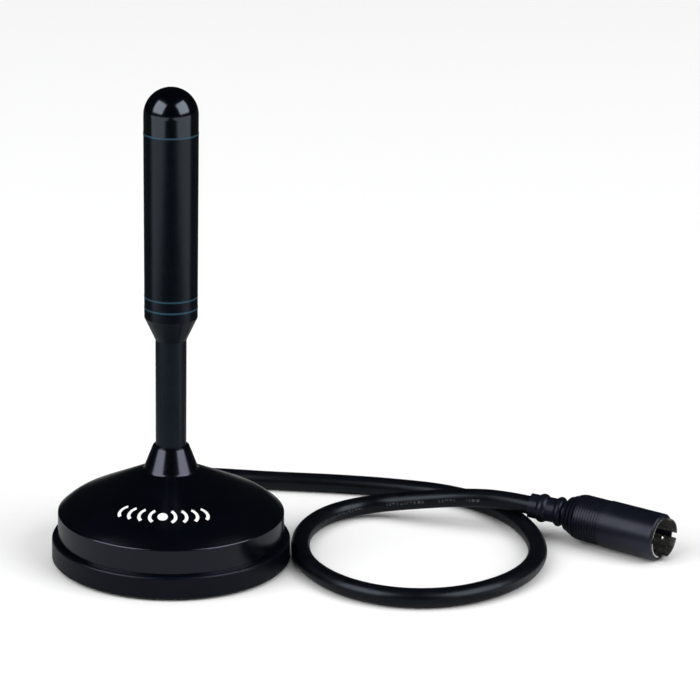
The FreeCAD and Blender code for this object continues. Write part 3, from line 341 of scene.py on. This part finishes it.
def lead():
    """The free lead: one NURBS spline through the route's control points."""
    curve = bpy.data.curves.new("lead", "CURVE")
    curve.dimensions = "3D"
    spline = curve.splines.new("NURBS")
    spline.points.add(len(LEAD_ROUTE) - 1)
    for point, place in zip(spline.points, LEAD_ROUTE):
        point.co = (*(value * MM for value in place), 1.0)
    spline.order_u = 3
    spline.use_endpoint_u = True
    curve.resolution_u = 14
    curve.bevel_depth = LEAD_DIAMETER / 2
    curve.bevel_resolution = 9
    curve.use_fill_caps = True
    piece = bpy.data.objects.new("lead", curve)
    bpy.context.scene.collection.objects.link(piece)
    return piece


def centreline(piece):
    """Points of a lead's own spline, read with no bevel."""
    bare = piece.data.copy()
    bare.bevel_depth = 0.0
    bare.resolution_u = 40
    holder = bpy.data.objects.new("bare", bare)
    bpy.context.scene.collection.objects.link(holder)
    bpy.context.view_layer.update()
    mesh = bpy.data.meshes.new_from_object(holder.evaluated_get(bpy.context.evaluated_depsgraph_get()))
    points = [vertex.co.copy() for vertex in mesh.vertices]
    bpy.data.meshes.remove(mesh)
    bpy.data.objects.remove(holder)
    bpy.data.curves.remove(bare)
    return points


def lengths_along(points):
    """Distance of each point from the first, along the line."""
    total = [0.0]
    for before, after in zip(points, points[1:]):
        total.append(total[-1] + (after - before).length)
    return total


def at_length(points, lengths, distance):
    """Point and direction at a distance along the line."""
    index = next((i for i, value in enumerate(lengths) if value > distance), len(points) - 1)
    index = max(1, index)
    span = lengths[index] - lengths[index - 1]
    share = (distance - lengths[index - 1]) / span if span else 0.0
    along = (points[index] - points[index - 1]).normalized()
    return points[index - 1].lerp(points[index], min(1.0, share)), along


def lead_print(line, material):
    """Faint plain ticks printed along the lead's last stretch, wrapped on its jacket."""
    lengths = lengths_along(line)
    total = lengths[-1]
    points = []
    faces = []
    radius = LEAD_DIAMETER / 2 + PRINT_LIFT
    for begin, end in PRINT_GROUPS:
        place = begin * total
        while place < end * total:
            length = random.choice(PRINT_LENGTHS) * MM
            low, high = random.choice(PRINT_HEIGHTS)
            steps = max(1, round(length / PRINT_STEP))
            first = len(points)
            for step in range(steps + 1):
                centre, along = at_length(line, lengths, place + length * step / steps)
                side = along.cross(Vector((0, 0, 1))).normalized()
                up = side.cross(along).normalized()
                for angle in (low, (low + high) / 2, high):
                    turn = math.radians(PRINT_ANGLE + angle)
                    points.append(centre + (side * math.cos(turn) + up * math.sin(turn)) * radius)
            for step in range(steps):
                for row in range(2):
                    corner = first + step * 3 + row
                    faces.append((corner, corner + 3, corner + 4, corner + 1))
            place += length + random.choice(PRINT_GAPS) * MM
    return mesh_piece("lead_marks", points, faces, material, "base")


def on_cone(across, up):
    """A point just over the cone's front from a distance across and a distance up its slope."""
    radius = MARK_RADIUS - up * CONE_COSINE
    angle = -math.pi / 2 + (across + MARK_ASIDE) / MARK_RADIUS
    cap = NODES["base_cap"]
    back = cap.matrix_world.inverted()
    start = back @ Vector((radius * math.cos(angle), radius * math.sin(angle), ABOVE))
    aim = back.to_3x3() @ Vector((0, 0, -1))
    _, place, normal, _ = cap.ray_cast(start, aim)
    return cap.matrix_world @ (place + normal * MARK_LIFT)


def wave_mark(material):
    """Generic radio-wave mark on the cone: a dot with arcs on each side."""
    points = []
    faces = []

    def strip(inner, outer, half_angle, middle, steps, centre=0.0):
        first = len(points)
        for step in range(steps + 1):
            angle = middle - half_angle + 2 * half_angle * step / steps
            for share in (0.0, 0.5, 1.0):
                radius = inner + (outer - inner) * share
                points.append(on_cone(centre + radius * math.cos(angle), radius * math.sin(angle)))
        for step in range(steps):
            for row in range(2):
                corner = first + step * 3 + row
                faces.append((corner, corner + 1, corner + 4, corner + 3))

    strip(0.0, MARK_DOT, math.pi, 0.0, 40)
    inner = MARK_BEND - MARK_STROKE
    for index in range(MARK_ARCS):
        shift = MARK_FIRST + index * MARK_STEP - MARK_BEND
        strip(inner, MARK_BEND, MARK_OPENING, 0.0, 24, shift)
        strip(inner, MARK_BEND, MARK_OPENING, math.pi, 24, -shift)
    return mesh_piece("cone_mark", points, faces, material, "base")


def exit_sleeve(line, material):
    """Short ribbed and tapered sleeve on the lead where it leaves the base."""
    start = line[0]
    along = (Vector(LEAD_ROUTE[1]) - Vector(LEAD_ROUTE[0])).normalized()
    place = Matrix.Translation(start) @ along.to_track_quat("Z", "Y").to_matrix().to_4x4()
    bore = LEAD_DIAMETER / 2 + 0.02 * MM
    outline = [(bore, 1.0 * MM), (4.3 * MM, 1.0 * MM), (4.3 * MM, 1.9 * MM)]
    for index in range(3):
        level = (2.3 + 1.5 * index) * MM
        radius = (4.05 - 0.32 * index) * MM
        outline += [
            (radius - 0.35 * MM, level - 0.25 * MM),
            (radius - 0.35 * MM, level),
            (radius, level + 0.15 * MM),
            (radius - 0.1 * MM, level + 1.1 * MM),
        ]
    outline.append((bore, 6.6 * MM))
    return lathe("exit_sleeve", outline, place, material, "base", 64)


def mapped(tree, value, before, after):
    """Map a value from one range to another, held at both ends."""
    node = tree.nodes.new("ShaderNodeMapRange")
    for name, number in zip(("From Min", "From Max", "To Min", "To Max"), (*before, *after)):
        node.inputs[name].default_value = number
    tree.links.new(value, node.inputs["Value"])
    return node.outputs["Result"]


def combined(tree, operation, one, other):
    """One number from two."""
    node = tree.nodes.new("ShaderNodeMath")
    node.operation = operation
    tree.links.new(one, node.inputs[0])
    tree.links.new(other, node.inputs[1])
    return node.outputs[0]


def floor():
    """Pale floor, part of the stage, evenly pale to the camera; in gloss it looks darker, apart from a
    pale wing on either side and a pale spot in front of the plug: painted reflections for the object's
    gloss.
    """
    bpy.ops.mesh.primitive_plane_add(size=9.0, location=(0, 0, -0.0002))
    ground = bpy.context.object
    ground.name = "floor"
    material, tree, shader = new_material("floor_white")
    place = tree.nodes.new("ShaderNodeTexCoord")
    distance = tree.nodes.new("ShaderNodeVectorMath")
    distance.operation = "LENGTH"
    tree.links.new(place.outputs["Object"], distance.inputs[0])
    near = mapped(tree, distance.outputs["Value"], (0.085, 0.20), MIRROR_NEAR)
    spot = tree.nodes.new("ShaderNodeVectorMath")
    spot.operation = "DISTANCE"
    tree.links.new(place.outputs["Object"], spot.inputs[0])
    spot.inputs[1].default_value = MIRROR_SPOT
    by_plug = mapped(tree, spot.outputs["Value"], (0.020, 0.055), (1.0, 0.0))
    split = tree.nodes.new("ShaderNodeSeparateXYZ")
    tree.links.new(place.outputs["Object"], split.inputs[0])
    aside = tree.nodes.new("ShaderNodeMath")
    aside.operation = "ABSOLUTE"
    tree.links.new(split.outputs["X"], aside.inputs[0])
    wings = mapped(tree, aside.outputs[0], (0.21, 0.26), MIRROR_WINGS)
    in_front = mapped(tree, split.outputs["Y"], (-0.06, 0.02), (1.0, 0.0))
    pale = combined(tree, "MULTIPLY", wings, in_front)
    mirrored = combined(tree, "MAXIMUM", combined(tree, "MAXIMUM", near, pale), by_plug)
    # painted reflection: the masked colour is used only for glossy rays, so the object mirrors a darker
    # floor with pale wings and a pale spot by the plug
    rays = tree.nodes.new("ShaderNodeLightPath")
    shown = tree.nodes.new("ShaderNodeMix")
    shown.inputs["A"].default_value = 0.93
    tree.links.new(mirrored, shown.inputs["B"])
    tree.links.new(rays.outputs["Is Glossy Ray"], shown.inputs["Factor"])
    tree.links.new(shown.outputs["Result"], shader.inputs["Base Color"])
    shader.inputs["Roughness"].default_value = 0.9
    shader.inputs["Specular IOR Level"].default_value = 0.0
    ground.data.materials.append(material)


# ---------------------------------------------------------------- light and camera

def softbox(name, azimuth, elevation, distance, width, height, power):
    """An area light that looks at the middle of the object; azimuth 0 is in front, plus is right."""
    middle = (Vector(cad_box[0]) + Vector(cad_box[1])) / 2
    turn = math.radians(azimuth)
    rise = math.radians(elevation)
    outward = Vector((math.sin(turn) * math.cos(rise), -math.cos(turn) * math.cos(rise), math.sin(rise)))
    light = bpy.data.lights.new(name, "AREA")
    light.shape = "RECTANGLE"
    light.size = width
    light.size_y = height
    light.energy = power
    lamp = bpy.data.objects.new(name, light)
    lamp.location = middle + outward * distance
    lamp.rotation_euler = outward.to_track_quat("Z", "Y").to_euler()
    bpy.context.scene.collection.objects.link(lamp)
    return lamp


def overhead(name, strength, spread_degrees, lean):
    """A wide soft light from above that no gloss mirrors."""
    light = bpy.data.lights.new(name, "SUN")
    light.energy = strength
    light.angle = math.radians(spread_degrees)
    lamp = bpy.data.objects.new(name, light)
    lamp.rotation_euler = (math.radians(lean), 0, 0)
    lamp.visible_glossy = False
    bpy.context.scene.collection.objects.link(lamp)


def world():
    """Even pale surroundings, dim enough to keep black gloss black."""
    made = bpy.data.worlds.new("studio")
    made.use_nodes = True
    tree = made.node_tree
    back = tree.nodes["Background"]
    back.inputs["Color"].default_value = (0.90, 0.95, 1.0, 1.0)
    rays = tree.nodes.new("ShaderNodeLightPath")
    strength = tree.nodes.new("ShaderNodeMapRange")
    strength.inputs["To Min"].default_value = 0.012
    strength.inputs["To Max"].default_value = 1.3
    tree.links.new(rays.outputs["Is Camera Ray"], strength.inputs["Value"])
    tree.links.new(strength.outputs["Result"], back.inputs["Strength"])
    bpy.context.scene.world = made


def camera():
    """Long lens, a little above the table, framed to the left of the middle."""
    data = bpy.data.cameras.new("camera")
    data.lens = 162.5
    data.sensor_width = 36.0
    data.shift_x = 0.2557
    data.clip_start = 0.05
    data.clip_end = 30.0
    eye = bpy.data.objects.new("camera", data)
    eye.location = (0.0, -0.870, 0.3374)
    eye.rotation_euler = (math.radians(72.55), 0.0, 0.0)
    bpy.context.scene.collection.objects.link(eye)
    bpy.context.scene.camera = eye


def build():
    materials = make_materials()
    dress_nodes(materials)
    cord = lead()
    line = centreline(cord)
    cord.data.materials.append(materials["lead_jacket"])
    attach(cord, "base")
    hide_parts("cable")
    ink = moulded("mark_ink", (0.80, 0.81, 0.82), (0.90, 0.90, 0.91), (0.35, 0.45), 0.3)
    wave_mark(ink)
    faint = moulded("lead_ink", (0.030, 0.032, 0.036), (0.060, 0.063, 0.068), (0.4, 0.5), 0.3)
    lead_print(line, faint)
    exit_sleeve(line, materials["grommet_rubber"])
    floor()
    softbox("left_box", -61, 33, 4.0, 3.4, 3.2, 132)
    softbox("right_box", 61, 33, 4.0, 3.4, 3.2, 132)
    overhead("top_light", 1.25, 70, -8)
    world()
    camera()


build()
bpy.context.scene.view_settings.view_transform = "Standard"
